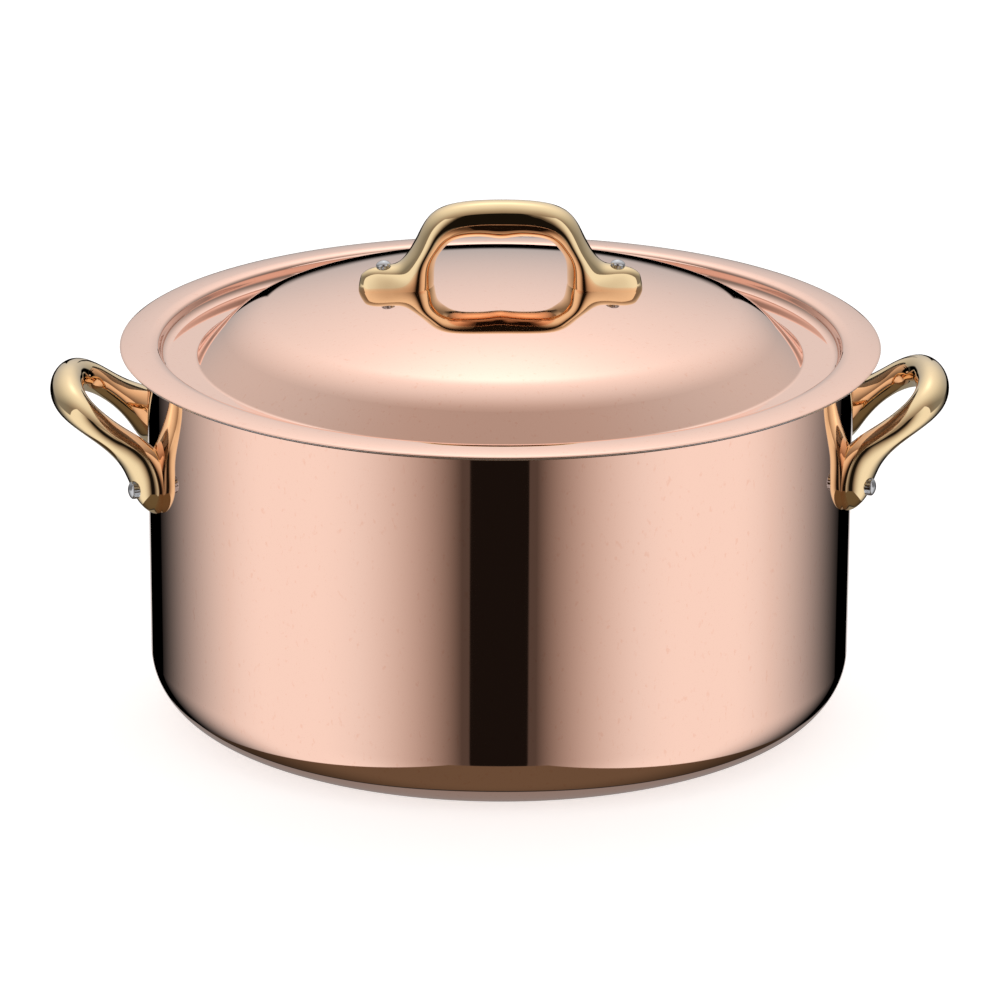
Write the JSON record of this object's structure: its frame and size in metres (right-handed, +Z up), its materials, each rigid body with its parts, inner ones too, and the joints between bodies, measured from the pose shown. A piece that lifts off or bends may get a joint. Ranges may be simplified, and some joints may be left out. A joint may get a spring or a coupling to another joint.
{
  "type": "copper stewpot with lid",
  "caption": "Low round copper pot with a stainless lining, brass loop handles at both sides and a domed copper lid with a brass arch handle.",
  "frame": {"origin": "middle of the flat base, on the surface that the pot stands on", "axes": "+Z up through the middle of the lid's handle; the side handles and the lid's handle lie along X; +Y to the rear"},
  "size_m": [0.3098, 0.2612, 0.1783],
  "materials": {
    "copper": "polished copper",
    "brass": "polished cast brass",
    "steel": "satin stainless steel"
  },
  "bodies": {
    "pot": {"pot_copper_body": "copper", "pot_steel_lining": "steel", "left_side_handle": "brass", "right_side_handle": "brass", "left_front_rivet": "steel", "left_rear_rivet": "steel", "right_front_rivet": "steel", "right_rear_rivet": "steel"},
    "lid": {"lid_copper_cover": "copper", "lid_steel_lining": "steel", "lid_handle": "brass", "lid_left_rivet": "steel", "lid_right_rivet": "steel"}
  },
  "joints": [
    {"name": "lid_lift", "type": "slide", "parent": "pot", "child": "lid", "axis": [0, 0, 1], "range_m": [0, 0.15]}
  ]
}
